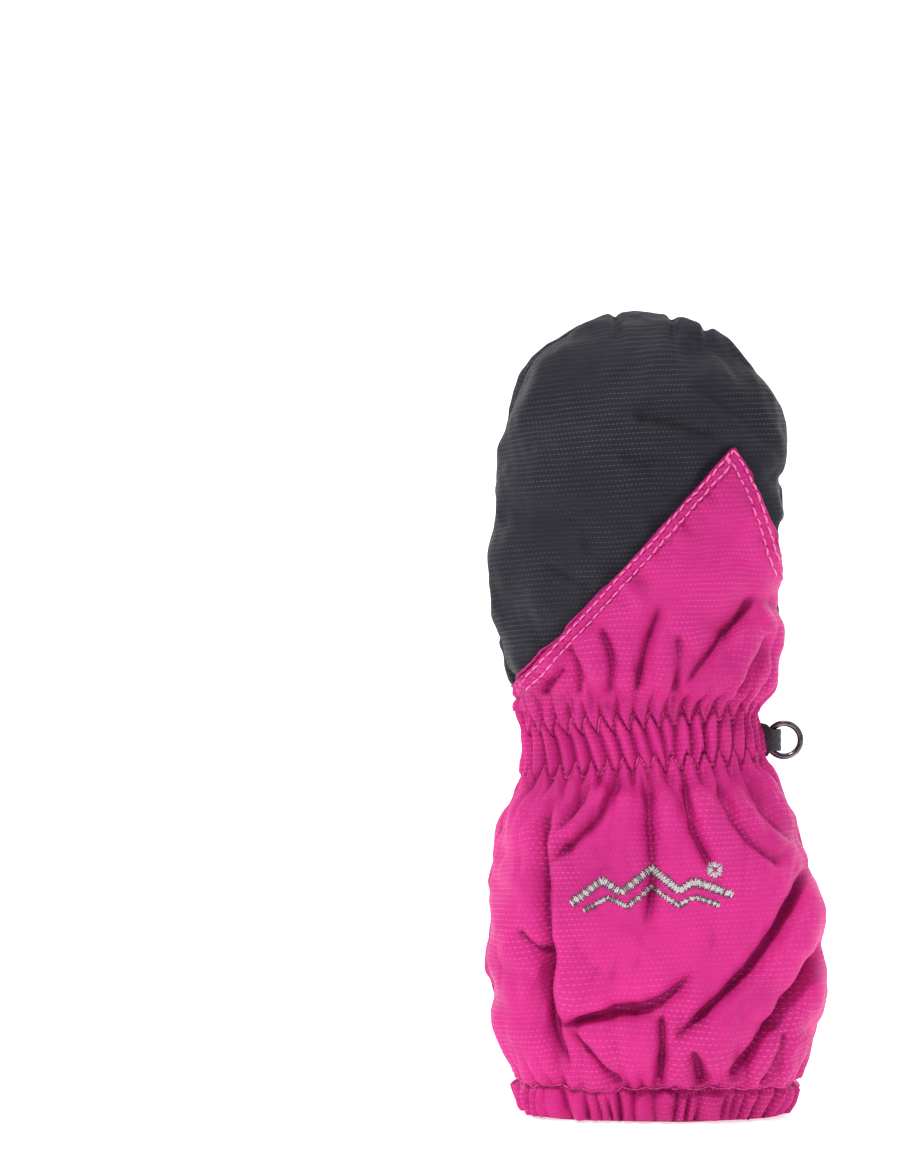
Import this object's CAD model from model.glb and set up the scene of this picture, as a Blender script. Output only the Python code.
import math

import bpy
import numpy as np
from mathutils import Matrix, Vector
from mathutils.kdtree import KDTree


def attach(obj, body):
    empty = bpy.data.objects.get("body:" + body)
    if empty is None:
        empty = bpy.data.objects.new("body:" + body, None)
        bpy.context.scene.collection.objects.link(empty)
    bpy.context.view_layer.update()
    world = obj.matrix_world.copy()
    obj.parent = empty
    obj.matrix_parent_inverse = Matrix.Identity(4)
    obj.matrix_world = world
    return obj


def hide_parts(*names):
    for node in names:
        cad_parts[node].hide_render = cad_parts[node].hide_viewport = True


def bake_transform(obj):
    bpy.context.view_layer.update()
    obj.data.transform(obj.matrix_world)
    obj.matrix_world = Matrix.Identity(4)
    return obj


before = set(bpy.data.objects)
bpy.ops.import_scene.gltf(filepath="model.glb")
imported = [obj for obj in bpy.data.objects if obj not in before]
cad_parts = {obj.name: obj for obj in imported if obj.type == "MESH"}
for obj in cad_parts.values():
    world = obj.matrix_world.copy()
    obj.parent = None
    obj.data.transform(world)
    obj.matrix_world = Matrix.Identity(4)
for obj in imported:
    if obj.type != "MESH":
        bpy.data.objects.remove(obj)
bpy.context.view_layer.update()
MM = 0.001

# ---------------------------------------------------------------- camera, light and floor


def studio():
    bpy.ops.object.camera_add(location=(-0.0647, -1.022, 0.164), rotation=(math.radians(90), 0, 0))
    camera = bpy.context.active_object
    camera.name = "camera"
    camera.data.lens = 100
    camera.data.sensor_width = 36
    camera.data.clip_end = 60
    bpy.context.scene.camera = camera

    def softbox(name, place, aim, size, watts, colour=(1, 1, 1)):
        bpy.ops.object.light_add(type="AREA", location=place)
        lamp = bpy.context.active_object
        lamp.name = name
        lamp.data.shape = "DISK"
        lamp.data.size = size
        lamp.data.energy = watts
        lamp.data.color = colour
        lamp.rotation_euler = (Vector(aim) - Vector(place)).to_track_quat("-Z", "Y").to_euler()
        return lamp

    softbox("key", (-0.45, -1.0, 1.4), (0, 0, 0.15), 0.3, 19)
    softbox("fill", (0.9, -1.4, 0.5), (0, 0, 0.12), 0.9, 2)
    softbox("top", (0.1, 0.1, 1.9), (0, 0, 0.1), 1.2, 16)
    softbox("back_left", (-1.3, 1.3, 1.0), (0, 0, 0.12), 1.0, 4)
    softbox("back_right", (1.2, 1.2, 0.9), (0, 0, 0.12), 1.0, 7)

    bpy.context.scene.view_settings.view_transform = "Standard"
    world = bpy.data.worlds.new("pale")
    bpy.context.scene.world = world
    world.use_nodes = True
    world.node_tree.nodes["Background"].inputs["Color"].default_value = (1.0, 1.0, 1.0, 1)
    world.node_tree.nodes["Background"].inputs["Strength"].default_value = 0.24

    bpy.ops.object.select_all(action="DESELECT")
    bpy.ops.mesh.primitive_circle_add(vertices=96, radius=1.9, fill_type="NGON", location=(0, 0, 0))
    floor = bpy.context.active_object
    floor.name = "floor"
    bpy.ops.object.mode_set(mode="EDIT")
    bpy.ops.mesh.select_all(action="SELECT")
    bpy.ops.mesh.inset(thickness=0.05)
    bpy.ops.mesh.select_all(action="SELECT")
    bpy.ops.mesh.region_to_loop()
    reach = 1.9
    for i in range(10):
        angle = math.radians(9 * (i + 0.5))
        wider = reach + 0.16 * math.cos(angle)
        bpy.ops.mesh.extrude_edges_move(TRANSFORM_OT_translate={"value": (0, 0, 0.16 * math.sin(angle))})
        bpy.ops.transform.resize(value=(wider / reach, wider / reach, 1))
        reach = wider
    bpy.ops.mesh.extrude_edges_move(TRANSFORM_OT_translate={"value": (0, 0, 2.4)})
    bpy.ops.mesh.select_all(action="SELECT")
    bpy.ops.mesh.normals_make_consistent(inside=True)
    bpy.ops.object.mode_set(mode="OBJECT")
    bpy.ops.object.shade_smooth()
    return floor


# ---------------------------------------------------------------- shader expressions


class Value:
    """A socket that can be used in sums."""

    def __init__(self, shop, socket):
        self.shop = shop
        self.socket = socket

    def __add__(self, other):
        return self.shop.maths("ADD", self, other)

    def __radd__(self, other):
        return self.shop.maths("ADD", other, self)

    def __sub__(self, other):
        return self.shop.maths("SUBTRACT", self, other)

    def __rsub__(self, other):
        return self.shop.maths("SUBTRACT", other, self)

    def __mul__(self, other):
        return self.shop.maths("MULTIPLY", self, other)

    def __rmul__(self, other):
        return self.shop.maths("MULTIPLY", other, self)

    def __truediv__(self, other):
        return self.shop.maths("DIVIDE", self, other)

    def __pow__(self, other):
        return self.shop.maths("POWER", self, other)


class Shop:
    """One material's nodes."""

    def __init__(self, name):
        self.material = bpy.data.materials.new(name)
        self.material.use_nodes = True
        self.tree = self.material.node_tree
        self.tree.nodes.clear()
        self.output = self.tree.nodes.new("ShaderNodeOutputMaterial")
        self.shader = self.tree.nodes.new("ShaderNodeBsdfPrincipled")
        self.tree.links.new(self.shader.outputs[0], self.output.inputs["Surface"])

    def node(self, kind, settings=None, **sockets):
        made = self.tree.nodes.new(kind)
        for key, value in (settings or {}).items():
            if key == "stops":
                ramp = made.color_ramp
                while len(ramp.elements) > 1:
                    ramp.elements.remove(ramp.elements[-1])
                ramp.elements[0].position, ramp.elements[0].color = value[0]
                for place, colour in value[1:]:
                    ramp.elements.new(place).color = colour
            else:
                setattr(made, key, value)
        for key, value in sockets.items():
            index = int(key[1:]) if key[0] == "i" and key[1:].isdigit() else key.replace("_", " ")
            self.feed(made.inputs[index], value)
        return made

    def feed(self, socket, value):
        if isinstance(value, Value):
            self.tree.links.new(value.socket, socket)
        else:
            socket.default_value = value

    def maths(self, operation, a, b=0.0, clamp=False):
        made = self.node("ShaderNodeMath", {"operation": operation, "use_clamp": clamp}, i0=a, i1=b)
        return Value(self, made.outputs[0])

    def fraction(self, a):
        return self.maths("FRACT", a)

    def steps(self, a, low, high):
        made = self.node("ShaderNodeMapRange", {"interpolation_type": "SMOOTHSTEP"}, Value=a, From_Min=low,
            From_Max=high)
        return Value(self, made.outputs[0])

    def blend(self, factor, a, b):
        made = self.node("ShaderNodeMix", {"data_type": "RGBA"})
        for socket, value in ((made.inputs[0], factor), (made.inputs[6], a), (made.inputs[7], b)):
            self.feed(socket, value)
        return Value(self, made.outputs[2])

    def noise(self, place, scale, detail=2.0, rough=0.5):
        made = self.node("ShaderNodeTexNoise", Vector=place, Scale=scale, Detail=detail, Roughness=rough)
        return Value(self, made.outputs["Factor" if "Factor" in made.outputs else "Fac"])

    def here(self):
        return Value(self, self.node("ShaderNodeTexCoord").outputs["Object"])

    def axis(self, which):
        """One object coordinate, 0 for x, 1 for y, 2 for z."""
        split = self.node("ShaderNodeSeparateXYZ", Vector=self.here())
        return Value(self, split.outputs[which])

    def uv(self, name):
        split = self.node("ShaderNodeSeparateXYZ",
            i0=Value(self, self.node("ShaderNodeUVMap", {"uv_map": name}).outputs[0]))
        return Value(self, split.outputs[0]), Value(self, split.outputs[1])

    def attribute(self, name):
        return Value(self, self.node("ShaderNodeAttribute", {"attribute_name": name}).outputs["Fac"])

    def bump(self, height, distance, strength=1.0, under=None):
        made = self.node("ShaderNodeBump", Height=height, Distance=distance, Strength=strength)
        if under is not None:
            self.feed(made.inputs["Normal"], under)
        return Value(self, made.outputs[0])

    def finish(self, **sockets):
        for key, value in sockets.items():
            self.feed(self.shader.inputs[key.replace("_", " ")], value)
        return self.material


def rgb(r, g, b):
    """Screen colour 0 to 255 as linear light."""
    return tuple(
        ((c / 255 + 0.055) / 1.055) ** 2.4 if c > 10 else c / 255 / 12.92 for c in (r, g, b)) + (1.0,)


def dobby_cloth(name, ground, dash, shade, rough, sheen, dash_strength):
    """Plain weave with a small woven dash in every other place, in rows 1.5 mm apart.

    UV is in millimetres of cloth."""
    s = Shop(name)
    along, up = s.uv("cloth")
    here = s.here()
    up = up + along * 0.06
    row = up / 1.5
    every_other = s.maths("MODULO", s.maths("FLOOR", row), 2.0)
    across = s.fraction(along / 1.3 + every_other * 0.5) - 0.5
    within = s.fraction(row) - 0.5
    in_dash = 1 - s.steps(s.maths("ABSOLUTE", across), 0.24, 0.36)
    in_row = 1 - s.steps(s.maths("ABSOLUTE", within), 0.06, 0.17)
    patchy = s.steps(s.noise(here, 45.0), 0.35, 0.65) * 0.8 + 0.2
    dashes = in_dash * in_row
    warp = s.maths("SINE", along * 14.0) * 0.5 + 0.5
    weft = s.maths("SINE", up * 14.0) * 0.5 + 0.5
    fold = s.attribute("fold")
    tone = s.noise(here, 25.0, 3.0)
    body = s.blend(s.steps(tone, 0.3, 0.75) * 0.35, ground, shade)
    deep = s.blend(s.steps(fold, 0.05, 0.9) * 0.6, body, shade)
    colour = s.blend(dashes * patchy * dash_strength, deep, dash)
    height = dashes * 0.9 + warp * weft * 0.3 + in_row * 0.12
    cockle = s.noise(here, 420.0, 3.0, 0.6)
    under = s.bump(cockle, 0.0006, 0.35)
    normal = s.bump(height, 0.00012, 0.8, under)
    return s.finish(
        Base_Color=colour, Roughness=rough + tone * 0.12 - dashes * 0.12, Normal=normal,
        Sheen_Weight=sheen, Sheen_Roughness=0.45, Specular_IOR_Level=0.16,
    )


def thread(name, colour, dark, rough=0.45):
    s = Shop(name)
    along, around = s.uv("cloth")
    twist = s.maths("SINE", along * 9.0 + around * 6.28) * 0.5 + 0.5
    return s.finish(
        Base_Color=s.blend(twist * 0.7, dark, colour), Roughness=rough + twist * 0.1,
        Normal=s.bump(twist, 0.0001, 0.8), Sheen_Weight=0.15,
    )


def knitted(name, colour, dark, scale=1.2):
    """Brushed or knitted inner cloth."""
    s = Shop(name)
    along, up = s.uv("cloth")
    rib = s.maths("SINE", along * 6.28 / scale) * 0.5 + 0.5
    loop = s.maths("SINE", up * 6.28 / scale + rib * 2.0) * 0.5 + 0.5
    fuzz = s.noise(s.here(), 900.0, 4.0, 0.7)
    mixed = rib * loop * 0.6 + fuzz * 0.4
    return s.finish(
        Base_Color=s.blend(mixed, dark, colour), Roughness=0.9, Normal=s.bump(mixed, 0.0004, 0.7),
        Sheen_Weight=0.3,
    )


def woven_tape(name):
    s = Shop(name)
    along, across = s.uv("cloth")
    rib = s.maths("ABSOLUTE", s.fraction(across / 0.9) - 0.5) * 2
    pick = s.maths("SINE", along * 9.0 + s.maths("FLOOR", across / 0.9) * 3.14) * 0.5 + 0.5
    height = pick * (1 - rib) + rib * 0.2
    fuzz = s.noise(s.here(), 1500.0, 3.0)
    return s.finish(
        Base_Color=s.blend(height * 0.7 + fuzz * 0.3, rgb(20, 17, 23), rgb(62, 56, 66)),
        Roughness=0.75 - pick * 0.1,
        Normal=s.bump(height, 0.0003, 0.9), Sheen_Weight=0.15,
    )


def black_nickel():
    s = Shop("black_nickel")
    here = s.here()
    worn = s.steps(s.noise(here, 260.0, 4.0, 0.65), 0.52, 0.72)
    fine = s.noise(here, 2200.0, 2.0)
    return s.finish(
        Base_Color=s.blend(worn * 0.5, rgb(96, 88, 92), rgb(150, 138, 138)), Metallic=1.0,
        Roughness=0.16 + worn * 0.14 + fine * 0.06, Normal=s.bump(fine, 0.00004, 0.4),
    )


# ---------------------------------------------------------------- the mitten's surface

# Height, centre in X, half width, half depth to the back, half depth to the palm, in millimetres
OUTLINE = np.array([
    (0, 0.0, 39.4, 20.5, 20.0), (5, 0.0, 41.4, 22.0, 21.5), (12, 0.1, 44.2, 24.0, 23.5),
    (24, -0.2, 48.4, 27.0, 26.5),
    (45, -0.6, 51.2, 29.0, 28.0), (66, -0.9, 50.4, 28.5, 27.5), (80, -1.8, 48.0, 27.0, 26.0),
    (92, -2.4, 43.8, 24.5, 23.5), (102, -3.1, 39.2, 22.0, 21.0), (110, -4.0, 37.0, 20.5, 19.8),
    (118, -4.8, 36.2, 20.0, 19.0), (126, -6.0, 36.4, 20.5, 19.3), (134, -5.6, 38.8, 22.5, 20.0),
    (146, -6.2, 41.8, 24.5, 20.6), (160, -6.9, 43.9, 25.5, 21.0), (175, -6.8, 44.5, 25.6, 21.0),
    (190, -5.6, 44.9, 25.2, 20.7), (204, -4.9, 44.7, 24.0, 19.6), (217, -4.3, 42.5, 22.0, 18.0),
    (228, -4.8, 38.2, 19.5, 15.8), (237, -5.3, 31.6, 16.0, 12.8), (244, -4.6, 23.2, 11.5, 9.3),
    (248.6, -6.0, 12.5, 6.5, 5.2), (250, -7.0, 0.4, 0.25, 0.2)])
# Height, centre in X, half width, half depth of the thumb
THUMB = np.array([
    (131, -24.0, 17.0, 1.6), (134, -24.5, 20.5, 5.0), (141, -25.0, 22.8, 8.2), (152, -25.6, 23.8, 9.8),
    (165, -25.4, 23.6, 10.6), (178, -24.2, 22.2, 10.8), (190, -22.0, 20.0, 10.4), (200, -20.6, 17.0, 9.2),
    (208, -20.6, 12.4, 7.0), (213, -21.0, 7.2, 4.2), (215.4, -21.4, 0.3, 0.2)])

# Diagonal seam on the back, X and Z
SEAM = np.array([
    (-60, 117.4), (21.4, 206.6), (22.8, 207), (26.6, 201.5), (30.2, 194),
    (33, 187), (35, 180.5), (36.5, 175.5), (39, 170), (46, 163),
])
WRIST_X, WRIST_Z = -5.0, 116.6  # a point on the smocking's tilted middle line
WRIST_SLOPE = math.tan(math.radians(5))
PALM_SEAM = 13.4  # the palm's lower seam above that line
ROW = 6.7  # each zigzag row above or below that line
GIRTH = 236.0  # cloth measured round the mitten
PITCH = GIRTH / 38  # one zigzag
ZIG = 2.6
HEM = 10.6  # hem stitching above the ground
PANEL_COLUMNS = 250


def hermite(table, count):
    """Smooth curve through a table's rows, evenly spaced along the outline."""
    steps = np.r_[0, np.cumsum(np.hypot(np.diff(table[:, 0]), np.diff(table[:, 2])))]
    slope = np.gradient(table, steps, axis=0)
    t = np.linspace(0, steps[-1], count)
    i = np.clip(np.searchsorted(steps, t, side="right") - 1, 0, len(steps) - 2)
    span = (steps[i + 1] - steps[i])[:, None]
    f = ((t - steps[i]) / span[:, 0])[:, None]
    return (
        (2 * f**3 - 3 * f**2 + 1) * table[i] + (f**3 - 2 * f**2 + f) * span * slope[i]
        + (-2 * f**3 + 3 * f**2) * table[i + 1] + (f**3 - f**2) * span * slope[i + 1]
    )


def rings(table, count_s, count_u, power):
    """Grid of points: rows along the outline, columns from the +X seam over the back, then the palm."""
    curve = hermite(table, count_s)
    angle = np.linspace(0, 2 * np.pi, 1441)
    c, s = np.cos(angle), np.sin(angle)
    ex, ey = np.sign(c) * np.abs(c) ** (2 / power), np.sign(s) * np.abs(s) ** (2 / power)
    grid = np.zeros((count_s, count_u, 3))
    for i, row in enumerate(curve):
        z, cx, a, back = row[:4]
        palm = row[4] if len(row) > 4 else back
        a, back, palm = max(a, 0.05), max(back, 0.05), max(palm, 0.05)
        x, y = cx + a * ex, -np.where(ey > 0, back, palm) * ey
        length = np.r_[0, np.cumsum(np.hypot(np.diff(x), np.diff(y)))]
        # each half is divided evenly, so the seams stay on columns 0 and the middle one
        half = length[720]
        first = np.linspace(0, half, count_u // 2, endpoint=False)
        second = np.linspace(half, length[-1], count_u // 2, endpoint=False)
        at = np.r_[first, second]
        grid[i, :, 0] = np.interp(at, length, x)
        grid[i, :, 1] = np.interp(at, length, y)
        grid[i, :, 2] = z
    return grid


def cubic(grid, si, ui):
    """Grid values between rows si and columns ui, columns wrapping round."""
    rows, cols = grid.shape[:2]
    s0, u0 = np.floor(si).astype(int), np.floor(ui).astype(int)
    fs, fu = si - s0, ui - u0

    def weights(f):
        return (
            -0.5 * f**3 + f**2 - 0.5 * f, 1.5 * f**3 - 2.5 * f**2 + 1,
            -1.5 * f**3 + 2 * f**2 + 0.5 * f, 0.5 * f**3 - 0.5 * f**2)

    total = 0
    for a, wa in enumerate(weights(fs)):
        for b, wb in enumerate(weights(fu)):
            value = grid[np.clip(s0 + a - 1, 0, rows - 1), (u0 + b - 1) % cols]
            total = total + value * (wa * wb)[..., None]
    return total


BASE = rings(OUTLINE, 420, 720, 2.35)
BASE_Z = BASE[:, 0, 2]
SWELL = np.zeros((110, 144, 3))


def at_height(z):
    return np.interp(z, BASE_Z, np.arange(len(BASE_Z)))


def surface(u, s):
    """Point on the swollen cloth. u runs 0 to 1 round, s is a row of BASE."""
    moved = cubic(SWELL, s / (len(BASE) - 1) * (len(SWELL) - 1), u * SWELL.shape[1])
    return cubic(BASE, s, u * BASE.shape[1]) + moved


def wrist_height(x, z):
    """Height above the wrist's tilted middle line."""
    return z - WRIST_Z - (x - WRIST_X) * WRIST_SLOPE


def wrist_middle(x):
    """Height of the wrist's tilted middle line."""
    return WRIST_Z + (x - WRIST_X) * WRIST_SLOPE


def along_seam(x, z):
    """Distance along the long run of the diagonal seam."""
    return x * 0.675 + z * 0.737


def waves(seed, length, *coords, count=14):
    """Smooth random field in -1 to 1 with that wavelength."""
    rng = np.random.default_rng(seed)
    total = 0
    for _ in range(count):
        direction = rng.normal(size=len(coords))
        direction = direction / np.linalg.norm(direction) * 2 * np.pi / length * rng.uniform(0.6, 1.4)
        total = total + np.sin(sum(d * c for d, c in zip(direction, coords)) + rng.uniform(0, 6.28))
    return total / math.sqrt(count / 2) / 1.6


def bell(d, width):
    return np.exp(-((d / width) ** 2))


def step(x, low, high):
    t = np.clip((x - low) / (high - low), 0, 1)
    return t * t * (3 - 2 * t)


def path_distance(x, z, path):
    """Distance to a path, signed by side, and the share of the way along it."""
    best = np.full(np.shape(x), 1e9)
    side, along = np.zeros_like(best), np.zeros_like(best)
    total = sum(math.dist(a, b) for a, b in zip(path[:-1], path[1:]))
    done = 0.0
    for a, b in zip(path[:-1], path[1:]):
        dx, dz = b[0] - a[0], b[1] - a[1]
        length = math.hypot(dx, dz)
        t = np.clip(((x - a[0]) * dx + (z - a[1]) * dz) / length**2, 0, 1)
        d = np.hypot(x - a[0] - t * dx, z - a[1] - t * dz)
        near = d < best
        best = np.where(near, d, best)
        side = np.where(near, np.sign((x - a[0]) * dz - (z - a[1]) * dx), side)
        along = np.where(near, (done + t * length) / total, along)
        done += length
    return best * side, along


def rounded(path):
    """The path with its corners cut twice."""
    path = np.array(path, float)
    for _ in range(2):
        near, far = 0.75 * path[:-1] + 0.25 * path[1:], 0.25 * path[:-1] + 0.75 * path[1:]
        path = np.vstack([path[:1], np.stack([near, far], 1).reshape(-1, 2), path[-1:]])
    return path


def slope(t):
    """Rises to 1 at t = 1 and falls away slowly."""
    t = np.maximum(t, 0)
    return t * np.exp(1 - t) * np.minimum(t, 1) ** 0.3


def crease(x, z, path, depth, width, ridge=0.7):
    """A valley along a path with a rounded ridge on its left side, dying out at both ends."""
    d, along = path_distance(x, z, rounded(path))
    fade = step(along, 0.0, 0.16) * (1 - step(along, 0.8, 1.0))
    valley = np.exp(-((np.abs(d) / width) ** 1.25))
    return 1.35 * fade * depth * (-1.25 * valley + 1.1 * ridge * slope(-d / (2.2 * width))
        + 0.45 * slope(d / (3 * width)))


# Folds on the back: path in X and Z, depth, width
BACK_FOLDS = [
    ([(48, 79), (37, 62), (27, 49), (18, 41), (6.5, 31), (1, 24)], 3.2, 2.2),
    ([(51, 57), (41.5, 43), (30, 30), (21.5, 16), (19, 11)], 2.8, 2.3),
    ([(-28, 103), (-36, 92), (-36.4, 72), (-33, 48), (-31.5, 26), (-25, 12)], 2.8, 1.8),
    ([(-31, 30), (-17.6, 35), (-4, 37), (5, 43), (10, 50)], 2.2, 2.4),
    ([(7, 106), (8, 92), (12, 84), (16, 77)], 2.2, 1.7),
    ([(-4, 106), (-3.8, 89), (-2.5, 74), (-6, 60)], 2.0, 2.0),
    ([(-14, 105), (-17, 95), (-27, 86), (-36, 78)], 1.9, 1.8),
    ([(-21, 105), (-24, 98), (-33, 88)], 1.6, 1.5),
    ([(17, 106), (19, 96), (27, 86), (38, 78)], 1.6, 1.9),
    ([(26, 107), (31, 96), (41, 84)], 1.4, 1.8),
    ([(-0.5, 36), (0, 26), (-0.5, 11)], 2.2, 1.5),
    ([(-27, 30), (-20, 21), (-10, 11)], 1.6, 1.6),
    ([(37, 30), (34, 22), (29, 12)], 1.8, 1.6),
    ([(8, 26), (12, 18), (12, 11)], 1.5, 1.5),
    ([(-44, 60), (-38, 54), (-33, 52)], 1.4, 1.6),
    ([(30, 163), (21, 152), (10, 140), (6, 132)], 1.5, 2.2),
    ([(-25, 131), (-24, 140), (-29, 148)], 1.6, 1.6),
    ([(-8, 131), (-6, 145), (0, 160)], 1.7, 1.9),
    ([(-16, 131), (-15, 143), (-19, 153)], 1.5, 1.6),
    ([(3, 131), (5, 142), (4, 152)], 1.3, 1.6),
    ([(21, 132), (29, 142), (33, 152)], 1.6, 1.7),
    ([(-36, 131), (-34, 135), (-28, 141)], 1.5, 1.5),
]
PALM_FOLDS = [
    ([(20, 10), (16, 22), (10, 34)], 2.0, 1.8),
    ([(-5, 10), (-8, 30), (-5, 56)], 1.7, 2.2),
    ([(-19, 10), (-22, 24), (-20, 34)], 1.6, 1.7),
    ([(-28, 10), (-36, 26), (-43, 42)], 1.9, 2.0),
    ([(34, 12), (37, 28), (45, 42)], 1.8, 1.9),
    ([(16, 106), (20, 82), (26, 54), (24, 36)], 2.5, 2.1),
    ([(5, 104), (2, 82), (8, 62)], 1.9, 1.8),
    ([(-7, 105), (-6, 86), (-9, 74)], 1.7, 1.6),
    ([(-19, 104), (-22, 88), (-34, 74), (-44, 68)], 2.3, 2.0),
    ([(-32, 105), (-39, 88), (-45, 52), (-44, 30)], 2.4, 2.0),
    ([(31, 106), (37, 90), (47, 76)], 1.7, 1.8),
    ([(4, 62), (-10, 50), (-26, 44)], 1.3, 2.4),
]


def lobes(arc, pitch, wobble, sharp=0.75):
    """Rounded pleats standing side by side, 0 in the valleys and 1 on the crests."""
    return np.abs(np.sin(np.pi * arc / pitch + wobble)) ** sharp


def zigzag_line(arc):
    t = arc / PITCH - np.floor(arc / PITCH)
    return ZIG * (4 * np.abs(t - 0.5) - 1)


def gathers(x, z, arc):
    """Height of the smocked wrist and of the pleats that leave it.

    The two zigzag rows pinch the cloth, which stands up between them in slanting leaves, and above and
    below them in pleats that start from the other points."""
    h = wrist_height(x, z)
    zig = zigzag_line(arc)
    t = arc / PITCH + 0.05 * waves(3, 21, arc, 0.5 * h)
    lean = 0.5 - step(x + 4 * waves(4, 30, arc), 2, 12)
    down = np.clip((ROW - h) / (2 * ROW), -0.2, 1.2)
    above, below = h - ROW - zig, -h - ROW + zig
    leaf = np.abs(np.cos(np.pi * (t + 2 * lean * 0.5 * down))) ** 0.85
    full = np.abs(np.sin(np.pi * t)) ** 0.8
    full_low = np.abs(np.cos(np.pi * t)) ** 0.8
    inside = step(-above, -0.2, 0.5) * step(-below, -0.2, 0.5)
    size = 1 + 0.2 * waves(8, 15, arc, 0.4 * h)
    out = inside * (2.9 * leaf * size - 1.4)
    fade_up = np.exp(-np.clip(above, 0, 99) / 10.0)
    fade_low = np.exp(-np.clip(below, 0, 99) / 9.0)
    out = out + step(above, -0.3, 0.5) * fade_up * (2.7 * full * size - 1.4)
    out = out + step(below, -0.3, 0.5) * fade_low * (2.7 * full_low * size - 1.4)
    for beyond, seed in ((above, 5), (below, 6)):
        far = step(beyond, 2.0, 7) * np.exp(-np.clip(beyond - 5, 0, 99) / 14.0)
        out = out + far * (2.4 * lobes(arc, 2 * PITCH, 0.9 * waves(seed, 28, arc, 0.3 * z)) - 1.1)
    pinch = bell(np.minimum(np.abs(above), np.abs(below)), 0.75)
    return out * (1 - 0.75 * pinch) - 1.2 * pinch


def hem_gathers(arc, z):
    wobble = 1.5 * waves(11, 17, arc, 0.25 * z)
    size = 1 + 0.45 * waves(14, 11, arc, 0.1 * z)
    pleat = lobes(arc, GIRTH / 46, wobble, 0.6)
    casing = (1 - step(z, HEM - 1.4, HEM)) * ((3.4 * pleat - 1.9) * size + 1.0 * bell(z - 4.8, 4.2))
    stitch = -1.3 * bell(z - HEM - 0.5 * np.sin(arc * 0.9), 0.9)
    above = step(z, HEM, HEM + 2) * np.exp(-np.clip(z - HEM, 0, 99) / 7) * (
        2.4 * lobes(arc, 6.0, 0.8 * waves(12, 22, arc, 0.3 * z)) - 1.2)
    longer = step(z, HEM + 2, HEM + 10) * np.exp(-np.clip(z - HEM - 6, 0, 99) / 12) * (
        2.0 * lobes(arc, 11.8, 0.8 * waves(13, 30, arc, 0.2 * z)) - 1.1)
    return casing + stitch + above + longer


# ---------------------------------------------------------------- cloth simulation


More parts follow.
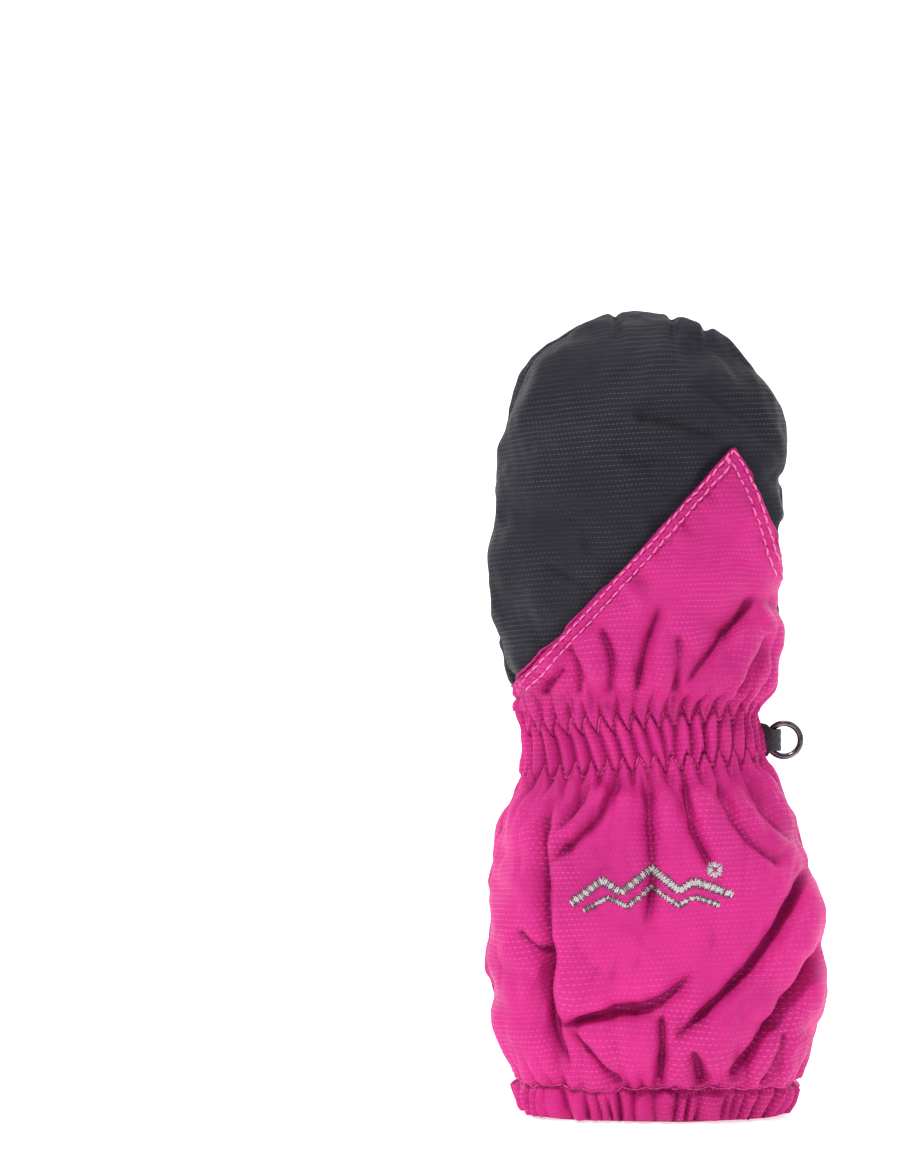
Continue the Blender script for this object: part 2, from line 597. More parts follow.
def swell():
    """Blows the sewn shell up as cloth held at its seams, and keeps how far each point moves."""
    rows, cols = SWELL.shape[:2]
    s = np.linspace(0, len(BASE) - 1, rows)
    points = np.array([cubic(BASE, np.full(cols, v), np.arange(cols) / cols * BASE.shape[1]) for v in s])
    x, y, z = points[..., 0], points[..., 1], points[..., 2]
    arc = np.arange(cols) / cols * GIRTH + 0 * z
    back = y < 0
    seed = np.where(back, sum(0.5 * crease(x, z, *f) for f in BACK_FOLDS),
        sum(0.5 * crease(x, z, *f) for f in PALM_FOLDS))
    seed = seed + 0.5 * waves(21, 17, x, y, z) + 0.25 * waves(22, 8, x, y, z)
    outward = np.stack([x - OUTLINE[8, 1], y * 1.6, 0 * z], -1)
    outward = outward / (np.linalg.norm(outward, axis=-1, keepdims=True) + 1e-6)
    start = points + outward * seed[..., None]
    verts = [tuple(p * MM) for p in start[:-1].reshape(-1, 3)]
    verts += [tuple(points[-1].mean(0) * MM), (0, 0, 0)]
    tip, foot = len(verts) - 2, len(verts) - 1
    faces = []
    for i in range(rows - 2):
        for j in range(cols):
            k = (j + 1) % cols
            faces.append((i * cols + k, i * cols + j, (i + 1) * cols + j, (i + 1) * cols + k))
    for j in range(cols):
        k = (j + 1) % cols
        faces.append(((rows - 2) * cols + k, (rows - 2) * cols + j, tip))
        faces.append((j, k, foot))
    mesh = bpy.data.meshes.new("blown_shell")
    mesh.from_pydata(verts, [], faces)
    shell = bpy.data.objects.new("blown_shell", mesh)
    bpy.context.collection.objects.link(shell)

    h = wrist_height(x, z)
    seam_d, _ = path_distance(x, z, SEAM)
    hold = np.maximum(1 - step(np.abs(h), ROW + 0.5, ROW + 5), 1 - step(z, HEM, HEM + 4))
    side = np.minimum(np.arange(cols), np.abs(np.arange(cols) - cols // 2))
    side = np.minimum(side, cols - np.arange(cols))
    hold = np.maximum(hold, 0.35 * bell(side, 1.2)[None, :])
    hold = np.maximum(hold, np.where(back & (z > 126), 0.5 * bell(seam_d, 2.2), 0))
    hold = np.maximum(hold, step(z, 244, 250) * 0.3)
    group = shell.vertex_groups.new(name="hold")
    flat = hold[:-1].reshape(-1)
    for i, w in enumerate(flat):
        if w > 0.02:
            group.add([i], float(min(w, 1)), "REPLACE")
    group.add([foot], 1.0, "REPLACE")

    cloth = shell.modifiers.new("cloth", "CLOTH")
    settings = cloth.settings
    settings.quality = 6
    settings.mass = 0.12
    settings.tension_stiffness = settings.compression_stiffness = 12
    settings.shear_stiffness = 6
    settings.bending_stiffness = 2.5
    settings.air_damping = 1.0
    settings.use_pressure = True
    settings.uniform_pressure_force = 3.0
    settings.vertex_group_mass = "hold"
    settings.pin_stiffness = 1.2
    settings.shrink_min = -0.06
    settings.effector_weights.gravity = 0
    cloth.collision_settings.use_collision = False
    scene = bpy.context.scene
    for frame_number in range(1, 23):
        scene.frame_set(frame_number)
    deps = bpy.context.evaluated_depsgraph_get()
    done = shell.evaluated_get(deps)
    out = np.array([v.co for v in done.data.vertices]) / MM
    moved = out[: (rows - 1) * cols].reshape(rows - 1, cols, 3) - points[:-1]
    reach = np.linalg.norm(moved, axis=-1, keepdims=True)
    cap = 4.5
    moved = moved * np.minimum(1, cap / np.maximum(reach, 1e-6))
    for _ in range(5):
        wide = np.concatenate([moved[:, -1:], moved, moved[:, :1]], axis=1)
        wide = np.concatenate([wide[:1], wide, wide[-1:]], axis=0)
        moved = (wide[:-2, 1:-1] + wide[2:, 1:-1] + wide[1:-1, :-2] + wide[1:-1, 2:] + 4 * moved) / 8
    SWELL[:-1] = moved
    calm = np.maximum(SWELL[-7].mean(0), (-9, -9, 0.8))
    for i in range(7):
        SWELL[-1 - i] = calm + (SWELL[-1 - i] - calm) * i / 7
    scene.frame_set(1)
    bpy.data.objects.remove(shell)
    bpy.data.meshes.remove(mesh)
    return float(np.abs(moved).max()), float(np.abs(moved).mean())


# ---------------------------------------------------------------- cloth panels


def normals_of(grid):
    du = np.gradient(grid, axis=1)
    ds = np.gradient(grid, axis=0)
    n = np.cross(ds, du)
    return n / (np.linalg.norm(n, axis=-1, keepdims=True) + 1e-9)


def grid_object(name, grid, cloth_uv, fold=None, thickness=0.6, closed=False):
    """One sheet of cloth from a grid of points, given its thickness inwards."""
    rows, cols = grid.shape[:2]
    index = np.arange(rows * cols).reshape(rows, cols)
    a, b = index[:-1, :-1], index[:-1, 1:]
    c, d = index[1:, 1:], index[1:, :-1]
    quads = np.stack([a, d, c, b], -1).reshape(-1, 4)
    mesh = bpy.data.meshes.new(name)
    mesh.vertices.add(rows * cols)
    mesh.vertices.foreach_set("co", (grid * MM).astype(np.float32).ravel())
    mesh.loops.add(quads.size)
    mesh.loops.foreach_set("vertex_index", quads.ravel().astype(np.int32))
    mesh.polygons.add(len(quads))
    mesh.polygons.foreach_set("loop_start", (np.arange(len(quads)) * 4).astype(np.int32))
    mesh.polygons.foreach_set("loop_total", np.full(len(quads), 4, np.int32))
    mesh.update(calc_edges=True)
    layer = mesh.uv_layers.new(name="cloth")
    layer.data.foreach_set("uv", cloth_uv.reshape(-1, 2)[quads.ravel()].astype(np.float32).ravel())
    shade = mesh.attributes.new("fold", "FLOAT", "POINT")
    values = np.zeros(rows * cols) if fold is None else fold.reshape(-1)
    shade.data.foreach_set("value", values.astype(np.float32))
    obj = bpy.data.objects.new(name, mesh)
    bpy.context.collection.objects.link(obj)
    pick(obj)
    if closed:
        bpy.ops.object.mode_set(mode="EDIT")
        bpy.ops.mesh.select_all(action="SELECT")
        bpy.ops.mesh.remove_doubles(threshold=2e-6)
        bpy.ops.object.mode_set(mode="OBJECT")
    if thickness:
        wall = obj.modifiers.new("wall", "SOLIDIFY")
        wall.thickness = thickness * MM
        wall.offset = -1
        bpy.ops.object.modifier_apply(modifier="wall")
    bpy.ops.object.shade_smooth()
    return obj


def pick(obj):
    bpy.ops.object.select_all(action="DESELECT")
    obj.select_set(True)
    bpy.context.view_layer.objects.active = obj


def seam_height(u):
    """Height of the diagonal seam on each column of the back."""
    z = np.full(len(u), 150.0)
    for _ in range(60):
        x = cubic(BASE, at_height(z), u * BASE.shape[1])[:, 0]
        target = np.interp(x, SEAM[:, 0], SEAM[:, 1])
        z = z + 0.35 * (target - z)
    return z


def hollow(height, spread):
    """How deep each point lies below its surroundings, 0 to 1, for the darker colour in folds."""
    blurred = height.copy()
    for _ in range(spread):
        padded = np.pad(blurred, 1, mode="edge")
        blurred = (padded[:-2, 1:-1] + padded[2:, 1:-1] + padded[1:-1, :-2] + padded[1:-1, 2:]
            + 4 * padded[1:-1, 1:-1]) / 8
    return np.clip((blurred - height) * 0.6, 0, 1)


class Panel:
    """A panel's grid: columns u, rows of heights z or of surface rows s."""

    def __init__(self, name, u, rows, relief, material, slot, thickness=0.6):
        self.u = np.broadcast_to(u, rows.shape)
        ground = surface(self.u, rows)
        self.normal = normals_of(ground)
        arc = self.u * GIRTH
        x, y, z = ground[..., 0], ground[..., 1], ground[..., 2]
        height = relief(x, y, z, arc) * (1
            - step(z, 246.5, 249.3) * (1 - step(np.abs(x - ground[-1, 0, 0]), 3, 8)))
        self.grid = ground + self.normal * height[..., None]
        self.grid[..., 2] = np.maximum(self.grid[..., 2], 0.9)
        self.out = normals_of(self.grid)
        uv = np.stack([arc, cubic(BASE, rows, self.u * BASE.shape[1])[..., 2]], -1)
        self.obj = grid_object(name, self.grid, uv, hollow(height, 60), thickness)
        self.obj.data.materials.append(material)
        flat = self.grid.reshape(-1, 3)
        self.flat, self.flat_out = flat, self.out.reshape(-1, 3)
        self.tree = None
        self.rows = rows

    def find(self, x, z):
        """Nearest point of the panel as seen from the front, and its normal."""
        if self.tree is None:
            self.tree = KDTree(len(self.flat))
            for i, p in enumerate(self.flat):
                self.tree.insert((p[0], 0, p[2]), i)
            self.tree.balance()
        _, i, _ = self.tree.find((x, 0, z))
        return self.flat[i], self.flat_out[i]

    def at(self, u, s):
        """Point and normal at a place given by u and the surface row s."""
        j = int(round((u - self.u[0, 0]) / (self.u[0, -1] - self.u[0, 0]) * (self.u.shape[1] - 1)))
        j = min(max(j, 0), self.u.shape[1] - 1)
        i = int(np.argmin(np.abs(self.rows[:, j] - s)))
        return self.grid[i, j], self.out[i, j]


def side_seam(arc, z, first, last):
    """Sewn side seams: a groove with small puckers."""
    d = np.minimum(np.abs(arc - first), np.abs(arc - last))
    return -0.9 * bell(d, 1.1) + (
        bell(d, 4.5) * 0.25 * np.sin(z * 0.7 + 2.0 * waves(31, 30, z)) * step(d, 0.3, 2.0))


def crumple(x, z, seed):
    """Loose cloth: soft flats that meet in thin valleys, running mostly up and down the cuff."""
    slack = 0.35 + 0.65 * (1 - step(z, 100, 112))
    big = np.abs(waves(seed, 30, 1.3 * x + 0.35 * z, 0.6 * z - 0.3 * x))
    small = np.abs(waves(seed + 1, 13, 1.2 * x - 0.25 * z, 0.6 * z))
    return slack * (1.5 * np.minimum(big, 1.2) + 0.6 * np.minimum(small, 1.2) - 1.0)


HALF = GIRTH / 2


def from_seam(arc):
    """Distance along the cloth from the nearer side seam."""
    return np.minimum(np.minimum(arc, np.abs(arc - HALF)), GIRTH - arc)


def pink_relief_back(x, y, z, arc):
    d, _ = path_distance(x, z, SEAM)
    d = np.where(z > 126, np.abs(d), 99.0)
    near = step(z, 128, 134)
    edge = near * (1.5 * step(d, -0.3, 0.8) * (1 - 0.45 * step(d, 3.6, 5.5)) - 0.9 * (1 - step(d, 0.0, 0.5)))
    rows = -0.5 * bell(d - 1.15, 0.5) - 0.75 * bell(d - 3.9, 0.6)
    pucker = bell(d - 2.5, 1.7) * 0.3 * np.sin(along_seam(x, z) * 2 * np.pi / 3.0) + (
        0.7 * bell(d - 7, 3.5) * waves(41, 8, along_seam(x, z), 0.3 * x))
    folds = sum(crease(x, z, *f) for f in BACK_FOLDS)
    calm = 1 - bell(d, 5.0) * 0.7
    soft = 0.35 * waves(42, 13, x, z) + crumple(x, z, 46)
    held = (1 - 0.8 * bell(wrist_height(x, z), ROW + 3)) * (1 - 0.65 * bell(from_seam(arc), 10))
    return (
        gathers(x, z, arc) + hem_gathers(arc, z) + (folds * calm + soft) * held + edge + rows + pucker
        + side_seam(arc, z, 0, HALF))


def pink_relief_palm(x, y, z, arc):
    folds = sum(crease(x, z, *f) for f in PALM_FOLDS)
    soft = 0.35 * waves(44, 13, x, z) + crumple(x, z, 48)
    held = (1 - 0.8 * bell(wrist_height(x, z), ROW + 3)) * (1 - 0.65 * bell(from_seam(arc), 10))
    seam = PALM_SEAM - wrist_height(x, z)
    edge = 0.8 * bell(seam, 3.0) * step(seam, -0.1, 0.6) - 0.45 * bell(seam - 1.5, 0.5)
    near_top = 1 - bell(seam, 2.0) * 0.5
    return (
        gathers(x, z, arc) * near_top + hem_gathers(arc, z) + (folds + soft) * held + edge
        + side_seam(arc, z, HALF, GIRTH))


def charcoal_relief_back(x, y, z, arc):
    d, _ = path_distance(x, z, SEAM)
    d = np.abs(d)
    dip = -1.3 * bell(d, 2.8) + 0.5 * bell(d - 6, 4)
    pull = bell(d - 6, 5) * 0.7 * waves(51, 14, along_seam(x, z), 0.35 * x)
    soft = 0.3 * waves(52, 16, x, y, z) + 0.12 * waves(53, 6, x, y, z)
    dimples = crease(x, z, [(-10, 216.5), (6, 214), (20, 209)], 1.1, 2.6, 0.3) + (
        crease(x, z, [(-14, 205), (0, 202), (12, 203)], 0.8, 3.0, 0.3))
    dimples = dimples + crease(x, z, [(8, 226), (22, 219), (34, 207)], 0.7, 3.0, 0.4) + (
        crease(x, z, [(-37, 172), (-28, 166), (-20, 163)], 0.8, 2.6, 0.3))
    return dip + pull + soft + dimples + rim_puckers(arc, x, z, 0, HALF)


def rim_puckers(arc, x, z, first, last):
    """The padded edge between back and palm, drawn in by its seam."""
    d = np.minimum(np.abs(arc - first), np.abs(arc - last)) * np.clip((252 - z) / 60, 0.12, 1)
    along = z * 0.55 + x * 0.75
    notches = np.where(x > 0, bell(z - 198, 1.7) + bell(z - 183.5, 1.9), 0) * bell(d, 7)
    notches = notches + sum(bell(x - place, 1.5) for place in (-13, 4.5, 15)) * step(z, 236, 246)
    return -1.0 * bell(d, 1.3) - 1.7 * notches + bell(d - 3.0, 3.5) * 0.6 * waves(32, 15, along, 0.3 * arc)


def palm_relief(x, y, z, arc):
    low = wrist_height(x, z) - PALM_SEAM
    dip = -0.7 * bell(low, 2.0)
    rise = bell(low - 5, 6) * 0.5 * waves(61, 8, x, 0.4 * z)
    soft = 0.35 * waves(62, 17, x, y, z) + 0.14 * waves(63, 6, x, y, z)
    crossing = crease(x, z, [(34, 196), (10, 188), (-4, 176)], 1.2, 3.0) + (
        crease(x, z, [(30, 150), (12, 160), (2, 172)], 1.2, 3.0))
    return dip + rise + soft + crossing + rim_puckers(arc, x, z, HALF, GIRTH)


def make_panels(mats):
    panels = {}
    u = np.linspace(0, 0.5, PANEL_COLUMNS)
    top = seam_height(u)
    x_mid = cubic(BASE, at_height(np.full(PANEL_COLUMNS, 128.0)), u * BASE.shape[1])[:, 0]
    waist = wrist_middle(x_mid) + 12
    low = np.linspace(0, 1, 215)[:, None] * waist[None, :]
    high = waist[None, :] + np.linspace(0, 1, 110)[1:, None] * np.maximum(top - waist, 1.0)[None, :]
    rows = at_height(np.vstack([low, high]))
    panels["back"] = Panel("pink_back_cloth", u[None, :], rows, pink_relief_back, mats["pink"], "shell_pink")

    under = at_height(top - 4.0)
    t = np.linspace(0, 1, 170)[:, None]
    rows = under[None, :] + t * (len(BASE) - 1.0 - under)[None, :]
    panels["tip"] = Panel("charcoal_finger_cloth", u[None, :], rows, charcoal_relief_back, mats["charcoal"],
        "shell_charcoal")

    u = np.linspace(0.5, 1.0, PANEL_COLUMNS)
    x_mid = cubic(BASE, at_height(np.full(PANEL_COLUMNS, 130.0)), u * BASE.shape[1])[:, 0]
    line = wrist_middle(x_mid) + PALM_SEAM
    rows = at_height(np.linspace(0, 1, 225)[:, None] * line[None, :])
    panels["palm_low"] = Panel("pink_palm_cloth", u[None, :], rows, pink_relief_palm, mats["pink"],
        "shell_pink")

    under = at_height(line - 2.5)
    t = np.linspace(0, 1, 210)[:, None]
    rows = under[None, :] + t * (len(BASE) - 1.0 - under)[None, :]
    panels["palm"] = Panel("charcoal_palm_cloth", u[None, :], rows, palm_relief, mats["palm"],
        "palm_charcoal")
    return panels


def make_thumb(mats):
    """The thumb lies on the palm, its two halves sewn round the edge."""
    table = rings(THUMB, 200, 240, 2.2)
    x, y, z = table[..., 0], table[..., 1], table[..., 2]
    palm_y = np.interp(z, OUTLINE[:, 0], OUTLINE[:, 4])
    middle = np.interp(z, OUTLINE[:, 0], OUTLINE[:, 1])
    wide = np.interp(z, OUTLINE[:, 0], OUTLINE[:, 2])
    off = np.clip(np.abs(x - middle) / wide, 0, 0.93)
    bed = palm_y * (1 - off**2.35) ** (1 / 2.35)
    depth = hermite(THUMB, 200)[:, 3][:, None]
    table[..., 1] = bed - 1.2 + (y + depth)
    normal = normals_of(table)
    arc = np.linspace(0, 110, 240)[None, :] + 0 * x
    rim = np.minimum(np.minimum(arc, np.abs(arc - 55)), 110 - arc)
    relief = -1.2 * bell(rim, 1.3) + bell(rim - 3, 2.8) * 0.6 * waves(71, 8, z, 0.4 * x)
    relief = relief + 0.35 * waves(72, 14, x, y, z) + 0.15 * waves(73, 6, x, y, z)
    front = y > 0
    relief = relief + np.where(front, crease(x, z, [(-14, 134), (-16, 150), (-12, 166)], 1.1, 2.0), 0)
    relief = relief + np.where(front, 0.8 * (1 - step(z, 133, 142)) * waves(74, 8, x, 0.2 * z), 0)
    table = table + normal * relief[..., None]
    pieces = []
    for name, first, last in (("thumb_inner_cloth", 0, 121), ("thumb_outer_cloth", 120, 241)):
        cols = np.arange(first, last) % 240
        part = table[:, cols]
        uv = np.stack([arc[:, cols] + (np.arange(first, last) >= 240) * 110.0, z[:, cols]], -1)
        obj = grid_object(name, part, uv, hollow(relief[:, cols], 20), 0.6)
        obj.data.materials.append(mats["palm"])
        pieces.append(obj)
    centre = table.mean(axis=1, keepdims=True)
    for name, depth, wall, material, slot in (
        ("thumb_wadding", 3.6, 1.4, "wadding", "insulation"),
        ("thumb_lining_sock", 5.6, 0.5, "lining", "lining"),
    ):
        rows = np.arange(24, 184, 2)
        close = np.sqrt(1 - np.linspace(0, 1, len(rows)) ** 6)[:, None, None]
        inner = centre[rows] + (table[rows] - centre[rows]) * (1 - depth / 11) * close
        inner = np.concatenate([inner, inner[:, :1]], axis=1)[:, ::2]
        obj = grid_object(name, inner, inner[..., [0, 2]], None, wall, closed=True)
        obj.data.materials.append(mats[material])
        pieces.append(obj)
    return pieces


# ---------------------------------------------------------------- stitches


def stitch_line(name, spots, material, radius=0.26, sink=0.1, bulge=0.25):
    """Each stitch runs from one spot to the next: a short thread that rises between two holes."""
    verts, faces, uvs = [], [], []
    around, rings_n = 6, 6
    for (p, n1), (q, n2) in spots:
        p, q, n1, n2 = (np.array(v, float) for v in (p, q, n1, n2))
        length = np.linalg.norm(q - p)
        if length < 0.2:
            continue
        way = (q - p) / length
        start = len(verts)
        for i in range(rings_n + 1):
            t = i / rings_n
            up = n1 * (1 - t) + n2 * t
            up = up - way * np.dot(up, way)
            up = up / (np.linalg.norm(up) + 1e-9)
            across = np.cross(way, up)
            lift = bulge * math.sin(math.pi * t) ** 0.6 - sink
            r = radius * (0.35 + 0.65 * math.sin(math.pi * min(max(t, 0.02), 0.98)) ** 0.4)
            centre = p * (1 - t) + q * t + up * lift
            for k in range(around):
                angle = 2 * math.pi * k / around
                verts.append(centre + (across * math.cos(angle) + up * math.sin(angle)) * r)
                uvs.append((t * length, k / around))
        for i in range(rings_n):
            for k in range(around):
                a, b = start + i * around + k, start + i * around + (k + 1) % around
                faces.append((a, b, b + around, a + around))
        faces.append(tuple(start + k for k in reversed(range(around))))
        faces.append(tuple(start + rings_n * around + k for k in range(around)))
    mesh = bpy.data.meshes.new(name)
    mesh.from_pydata([tuple(np.array(v) * MM) for v in verts], [], faces)
    layer = mesh.uv_layers.new(name="cloth")
    for loop in mesh.loops:
        layer.data[loop.index].uv = uvs[loop.vertex_index]
    mesh.update()
    obj = bpy.data.objects.new(name, mesh)
    bpy.context.collection.objects.link(obj)
    pick(obj)
    bpy.ops.object.mode_set(mode="EDIT")
    bpy.ops.mesh.select_all(action="SELECT")
    bpy.ops.mesh.normals_make_consistent(inside=False)
    bpy.ops.object.mode_set(mode="OBJECT")
    bpy.ops.object.shade_smooth()
    obj.data.materials.append(material)
    return obj


def seam_stitches(panels, inside, name, mats):
    """Topstitch row at a set distance inside the diagonal seam."""
    slope = math.atan2(SEAM[1][1] - SEAM[0][1], SEAM[1][0] - SEAM[0][0])
    shift = np.array([math.sin(slope), -math.cos(slope)]) * inside
    left = np.array([-44.2, 134.7]) + shift
    apex = np.array([SEAM[1][0] - 0.2 * inside, SEAM[1][1] - 1.36 * inside])
    path = [left, apex]
    for a, b in zip(SEAM[2:-1], SEAM[3:]):
        way = (b - a) / np.linalg.norm(b - a)
        path.append(a + np.array([way[1], -way[0]]) * inside)
    spots = []
    for a, b in zip(path[:-1], path[1:]):
        length = np.linalg.norm(b - a)
        count = max(1, round(length / 3.0))
        for i in range(count):
            p, q = a + (b - a) * (i + 0.1) / count, a + (b - a) * (i + 0.9) / count
            spots.append((panels["back"].find(*p), panels["back"].find(*q)))
    return stitch_line(name, spots, mats["pale_thread"], 0.32, -0.1, 0.3)


def spot_on(panels, u, start, rounds, height_at):
    """Point and normal on the pink cloth at u and height_at(x), searched from start in a few rounds."""
    panel = panels["back"] if u <= 0.5 else panels["palm_low"]
    z = start
    for _ in range(rounds):
        x = float(cubic(BASE, at_height(np.array([z])), np.array([u * BASE.shape[1]]))[0, 0])
        z = height_at(x)
    return panel.at(u, float(at_height(z)))


def zigzag_stitches(panels, row, name, mats):
    count = int(round(GIRTH / (PITCH / 2)))
    marks = []
    for i in range(count):
        first, last = i * PITCH / 2, min((i + 1) * PITCH / 2, GIRTH - 0.01)
        ends = []
        for share in (0.06, 0.35, 0.65, 0.94):
            arc = first + (last - first) * share
            zig = float(zigzag_line(np.array(arc)))
            ends.append(spot_on(panels, arc / GIRTH, 118.0, 3, lambda x: wrist_middle(x) + row + zig))
        marks += zip(ends[:-1], ends[1:])
    return stitch_line(name, marks, mats["pink_thread"], 0.3, -0.1, 0.2)


def hem_stitches(panels, mats):
    count = 92
    spots = []
    for u in [(i / count) % 1.0 for i in range(count + 1)]:
        spots.append(spot_on(panels, u, 118.0, 4, lambda x: HEM + 0.5 * math.sin(u * GIRTH * 0.9)))
    marks = list(zip(spots[:-1], spots[1:]))
    return stitch_line("hem_stitches", marks, mats["pink_thread"], 0.26, 0.05, 0.2)


def palm_stitches(panels, mats):
    def height_at(x):
        return wrist_middle(x) + PALM_SEAM - 1.5

    count = 39
    marks = []
    for i in range(count):
        first, last = (
            spot_on(panels, 0.5 + 0.5 * (i + f) / count, 131.0, 3, height_at) for f in (0.1, 0.9))
        marks.append((first, last))
    return stitch_line("palm_seam_stitches", marks, mats["pink_thread"], 0.3, -0.1, 0.3)


def motif_stitches(panels, mats):
    """Generic ridge line and sun in satin stitch: short threads laid side by side across each stroke."""
    ridge = [(-28, 68.5), (-18.5, 75.5), (-13, 71.8), (-3.5, 79), (4.5, 72.5), (9, 75.2), (21, 71.0)]
    lower = [(-24, 66.4), (-17, 70.4), (-11, 67.6), (-3.5, 73.4), (4, 68.2), (9.5, 70.6), (17, 67.8)]
    silver, dark = [], []

    def stroke(path, width, pitch=0.34):
        for a, b in zip(path[:-1], path[1:]):
            a, b = np.array(a, float), np.array(b, float)
            length = np.linalg.norm(b - a)
            way = (b - a) / length
            across = np.array([-way[1], way[0]]) * width / 2
            for i in range(int(length / pitch)):
                m = a + way * (i + 0.5) * pitch
                silver.append((panels["back"].find(*(m - across)), panels["back"].find(*(m + across))))
            for side in (-1.12, 1.12):
                steps = int(length / 1.6)
                for i in range(steps):
                    p = a + (b - a) * i / steps + across * side
                    q = a + (b - a) * (i + 0.95) / steps + across * side
                    dark.append((panels["back"].find(*p), panels["back"].find(*q)))

    stroke(ridge, 2.0)
    stroke(lower, 1.1)
    for i in range(24):
        angle = 2 * math.pi * i / 24
        centre = np.array([15.6, 78.6])
        rim = centre + np.array([math.cos(angle), math.sin(angle)]) * 2.5
        silver.append((panels["back"].find(*(centre + (rim - centre) * 0.25)), panels["back"].find(*rim)))
    bright = stitch_line("motif_satin_stitches", silver, mats["silver_thread"],
        0.24, -0.12, 0.3)
    edge = stitch_line("motif_edge_stitches", dark, mats["grey_thread"], 0.2, -0.06, 0.14)
    return bright, edge


# ---------------------------------------------------------------- tab and ring


def make_tab(mats):
    """Webbing folded round the ring's wire, its two legs sewn into the side seam."""
    bpy.ops.object.select_all(action="DESELECT")
    cx, z0 = 35.7, 116.5
    outline = []
    legs = 14
    for i in range(legs):
        outline.append((
            27.5 + (cx - 2.6 - 27.5) * i / (legs - 1), -0.75 - 0.9 * step(i / (legs - 1), 0.45, 1.0)))
    for i in range(1, 22):
        angle = math.radians(-148 + 296 * i / 22)
        outline.append((cx + 2.75 * math.cos(angle), 2.75 * math.sin(angle)))
    outline += [(x, -y) for x, y in reversed(outline[:legs])]
    outline = np.array(outline, float)
    way = np.gradient(outline, axis=0)
    way = way / np.linalg.norm(way, axis=1, keepdims=True)
    side = np.stack([way[:, 1], -way[:, 0]], -1)
    cols = 15
    grid = np.zeros((len(outline), cols, 3))
    length = np.r_[0, np.cumsum(np.linalg.norm(np.diff(outline, axis=0), axis=1))]
    for j in range(cols):
        v = j / (cols - 1) * 2 - 1
        narrow = 5.1 - 1.75 * step(outline[:, 0], cx - 1.7, cx)
        edge = 0.12 * np.sin(length * 3.1 + 2 * v)
        z = z0 + v * (narrow + edge * (abs(v) > 0.9))
        grid[:, j, 0] = outline[:, 0] + side[:, 0] * 0.1 * math.cos(v * 9)
        grid[:, j, 1] = outline[:, 1] + side[:, 1] * 0.1 * math.cos(v * 9)
        grid[:, j, 2] = z
    uv = np.stack([np.repeat(length[:, None], cols, 1),
        np.repeat(np.linspace(0, 10, cols)[None], len(outline), 0)], -1)
    obj = grid_object("webbing_loop", grid, uv, None, 0.0)
    wall = obj.modifiers.new("wall", "SOLIDIFY")
    wall.thickness = 0.95 * MM
    wall.offset = 0
    bpy.ops.object.modifier_apply(modifier="wall")
    rim = obj.modifiers.new("rim", "BEVEL")
    rim.width, rim.segments, rim.limit_method = 0.22 * MM, 2, "ANGLE"
    bpy.ops.object.modifier_apply(modifier="rim")
    bpy.ops.object.shade_smooth_by_angle(angle=math.radians(50))
    obj.data.materials.append(mats["tape"])
    return obj


def make_ring(mats):
    """Round wire bent to a ring, with the butt joint hidden in the loop."""
    bpy.ops.object.select_all(action="DESELECT")
    bpy.ops.mesh.primitive_torus_add(
        location=(39.8 * MM, 0, 116.5 * MM), rotation=(math.radians(90), 0, 0), major_segments=128,
        minor_segments=32, major_radius=5.15 * MM, minor_radius=0.98 * MM)
    obj = bpy.context.active_object
    obj.name = "snap_ring"
    bpy.ops.object.transform_apply(location=True, rotation=True, scale=True)
    bpy.ops.object.mode_set(mode="EDIT")
    bpy.ops.mesh.select_all(action="DESELECT")
    bpy.ops.object.mode_set(mode="OBJECT")
    for face in obj.data.polygons:
        c = face.center / MM
        face.select = c.x < 35.0 and abs(c.z - 116.5) < 0.13
    bpy.ops.object.mode_set(mode="EDIT")
    bpy.ops.mesh.inset(thickness=0.00004, depth=-0.00012)
    bpy.ops.object.mode_set(mode="OBJECT")
    bpy.ops.object.shade_smooth()
    obj.data.materials.append(mats["nickel"])
    return obj


# ---------------------------------------------------------------- inner layers


def layer(name, node, u0, u1, low, high, depths, material, slot, moves, ripple):
    """A padded or lining layer under the cloth, from low to high, or to the tip where high is None."""
    cols, count = (180, 70) if u1 - u0 > 0.6 else (100, 80)
    u = np.linspace(u0, u1, cols)[None, :]
    start = at_height(low + 0 * u)
    end = len(BASE) - 1.0 + 0 * start if high is None else at_height(high + 0 * u)
    rows = start + np.linspace(0, 1, count)[:, None] * (end - start)
    u = u + 0 * rows
    cloth = surface(u, rows)
    arc, z = u * GIRTH, cloth[..., 2]
    outside, inside = depths
    depth = outside(z) if callable(outside) else outside + 0 * z
    depth = depth + ripple * (1 + waves(91, 11, arc, 0.3 * z))
    middle = np.interp(z, OUTLINE[:, 0], OUTLINE[:, 1])
    up = 1 - depth / 115 if high is None else 1
    grid = np.stack([middle + (cloth[..., 0] - middle) * (1 - depth / 40), cloth[..., 1] * (1 - depth / 21),
        135 + (z - 135) * up], -1)
    grid[..., 2] = np.maximum(grid[..., 2], 0.9)
    obj = grid_object(name, grid, np.stack([arc, z], -1), None, inside, closed=True)
    obj.data.materials.append(material)
    moves(obj)
    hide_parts(node)


def wrist_line(u, lift):
    x = cubic(BASE, at_height(np.full(len(u), 117.0)), u * BASE.shape[1])[:, 0]
    return (wrist_middle(x) + lift)[None, :]


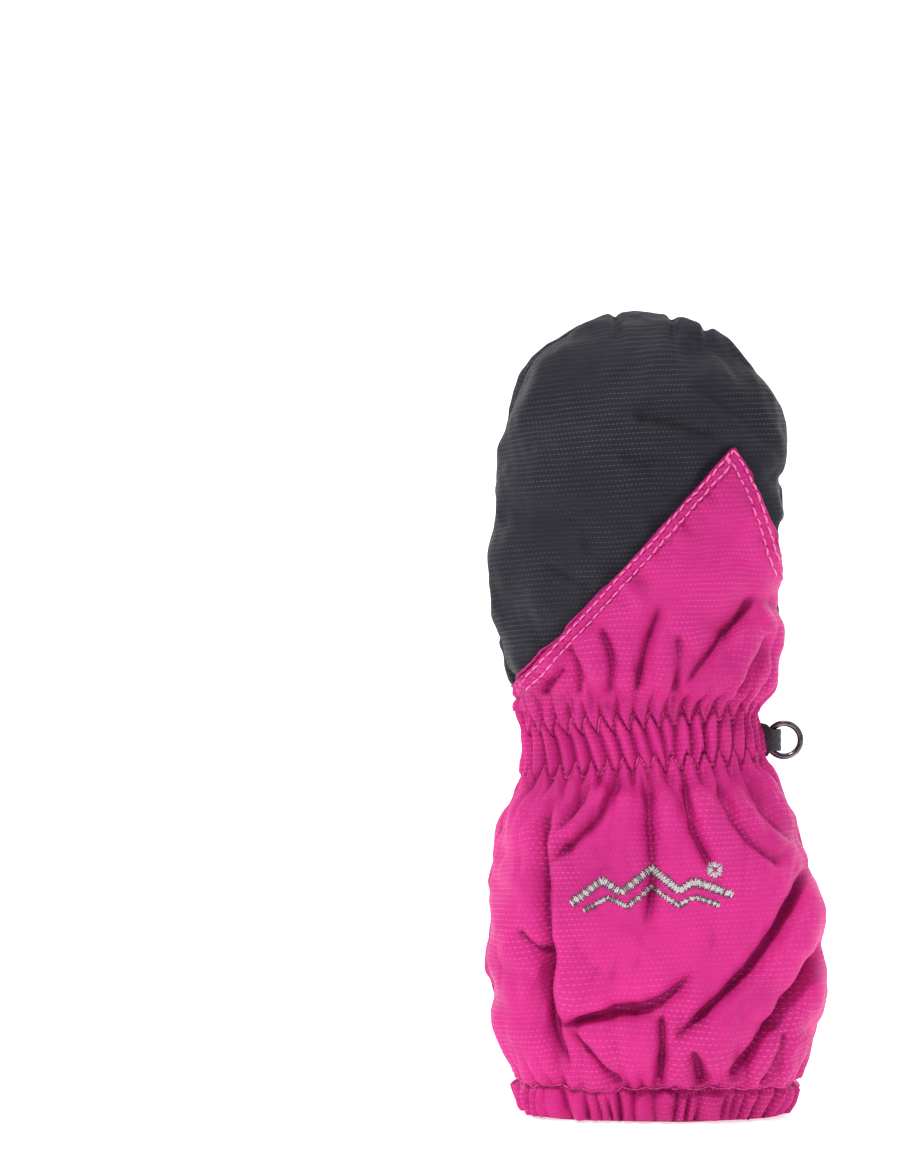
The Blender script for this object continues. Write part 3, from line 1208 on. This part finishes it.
def inner_layers(mats):
    def with_hand(obj):
        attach(obj, "hand")

    def with_cuff(obj):
        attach(obj, "cuff")

    def across(obj):
        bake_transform(obj)

    def turned_up(z):
        return 0.7 + 3.4 * step(z, 0, 1.6)

    around = np.linspace(0, 1, 180)
    upper, lower = ([wrist_line(around, lift - 2.4), wrist_line(around, lift + 2.4)] for lift in (ROW, -ROW))
    slots = {"wadding": "insulation", "pink": "shell_pink"}
    # piece, node, ends round the mitten, low and high, depth and wall, material, how it moves, ripple
    for name, node, ends, heights, depths, material, moves, ripple in (
        ("hand_wadding_back", "hand_insulation_back", (0.012, 0.488), (134, None), (4.8, 2.0),
            "wadding", with_hand, 0.3),
        ("hand_wadding_palm", "hand_insulation_palm", (0.512, 0.988), (134, None), (4.8, 2.0),
            "wadding", with_hand, 0.3),
        ("hand_lining_sock", "hand_lining", (0, 1), (130, None), (7.6, 0.5), "lining", with_hand, 0.3),
        ("gauntlet_wadding", "gauntlet_batting", (0, 1), (14, 101), (6.2, 1.6), "wadding", with_cuff, 0.3),
        ("gauntlet_lining_tube", "gauntlet_lining", (0, 1), (5, 104), (8.4, 0.5), "lining", with_cuff, 0.5),
        ("care_label_ribbon", "care_label", (0.47, 0.53), (56, 80), (9.4, 0.3), "label", with_cuff, 0.5),
        ("wrist_lining_tube", "wrist_lining", (0, 1), (104.5, 129.5), (6.4, 0.5), "lining", across, 0.5),
        ("wrist_elastic_band_lower", "wrist_elastic_lower", (0, 1), lower, (3.9, 0.8),
            "elastic", with_cuff, 0.0),
        ("wrist_elastic_band_upper", "wrist_elastic_upper", (0, 1), upper, (3.9, 0.8),
            "elastic", with_hand, 0.0),
        ("hem_turning", "hem_casing", (0, 1), (0.2, 11.5), (turned_up, 0.6), "pink", with_cuff, 0.0),
        ("hem_elastic_band", "hem_elastic", (0, 1), (2.0, 9.4), (2.7, 0.8), "elastic", with_cuff, 0.0),
    ):
        layer(name, node, *ends, *heights, depths, mats[material], slots.get(material, material), moves,
            ripple)


# ---------------------------------------------------------------- assembly

floor = studio()
mats = {
    "pink": dobby_cloth("pink_dobby", rgb(196, 38, 124), rgb(232, 90, 166), rgb(118, 0, 68), 0.55, 0.0, 0.5),
    "charcoal": dobby_cloth("charcoal_dobby", rgb(35, 35, 43), rgb(82, 80, 86), rgb(18, 18, 24),
        0.58, 0.0, 0.55),
    "palm": dobby_cloth("palm_dobby", rgb(32, 31, 39), rgb(74, 72, 77), rgb(16, 16, 21), 0.58, 0.0, 0.5),
    "pale_thread": thread("pale_thread", rgb(255, 150, 202), rgb(228, 70, 150)),
    "pink_thread": thread("pink_thread", rgb(250, 112, 182), rgb(200, 30, 118)),
    "silver_thread": thread("silver_thread", rgb(240, 236, 236), rgb(158, 150, 152), 0.28),
    "grey_thread": thread("grey_thread", rgb(96, 84, 90), rgb(48, 40, 46), 0.5),
    "tape": woven_tape("black_webbing"),
    "nickel": black_nickel(),
    "wadding": knitted("white_wadding", rgb(236, 234, 228), rgb(200, 198, 192), 2.2),
    "lining": knitted("tricot_lining", rgb(58, 56, 64), rgb(24, 23, 28), 0.9),
    "elastic": knitted("elastic_knit", rgb(228, 226, 222), rgb(176, 172, 168), 0.8),
    "label": knitted("label_ribbon", rgb(236, 236, 236), rgb(210, 210, 212), 0.5),
}
floor_shop = Shop("floor_paper")
floor_tone = floor_shop.noise(floor_shop.here(), 3.0)
front = floor_shop.steps(floor_shop.axis(1), -0.6, -0.35)
floor.data.materials.append(floor_shop.finish(
    Base_Color=floor_shop.blend(front, rgb(140, 140, 142),
        floor_shop.blend(floor_tone * 0.1, rgb(250, 250, 250), rgb(244, 244, 244))),
    Emission_Color=floor_shop.blend(front, rgb(60, 60, 60), rgb(255, 255, 255)), 
    Emission_Strength=0.62, Roughness=0.9))

print("swell", swell())

panels = make_panels(mats)
thumb_inner, thumb_outer, thumb_wadding, thumb_lining = make_thumb(mats)

seam_rows = [seam_stitches(panels, 1.15, "seam_stitches_outer", mats),
    seam_stitches(panels, 3.9, "seam_stitches_inner", mats)]
upper_zigzag = zigzag_stitches(panels, ROW, "zigzag_stitches_upper", mats)
lower_zigzag = zigzag_stitches(panels, -ROW, "zigzag_stitches_lower", mats)
hem_row = hem_stitches(panels, mats)
palm_row = palm_stitches(panels, mats)
motif_bright, motif_edge = motif_stitches(panels, mats)
tab = make_tab(mats)
ring = make_ring(mats)

for piece in (panels["back"].obj, panels["palm_low"].obj, upper_zigzag, lower_zigzag, palm_row, *seam_rows):
    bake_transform(piece)
for piece in (panels["tip"].obj, panels["palm"].obj):
    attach(piece, "hand")
for piece in (thumb_inner, thumb_outer, thumb_wadding, thumb_lining):
    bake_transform(piece)
for piece in (hem_row, motif_bright, motif_edge, tab):
    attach(piece, "cuff")
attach(ring, "ring")

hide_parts("gauntlet_back", "wrist_smocking_back", "back_panel_lower")
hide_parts("gauntlet_palm", "wrist_smocking_palm", "wrist_band_palm")
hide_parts("back_panel_upper")
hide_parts("palm_panel")
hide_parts("thumb_shell_outer", "thumb_gusset")
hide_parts("thumb_insulation")
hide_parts("thumb_lining")
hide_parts("thumb_shell_inner")
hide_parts("seam_stitching_outer")
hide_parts("seam_stitching_inner")
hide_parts("smocking_thread_upper")
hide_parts("smocking_thread_lower")
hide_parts("hem_stitching")
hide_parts("palm_stitching")
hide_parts("motif")
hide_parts("webbing_tab")
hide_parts("ring")
inner_layers(mats)
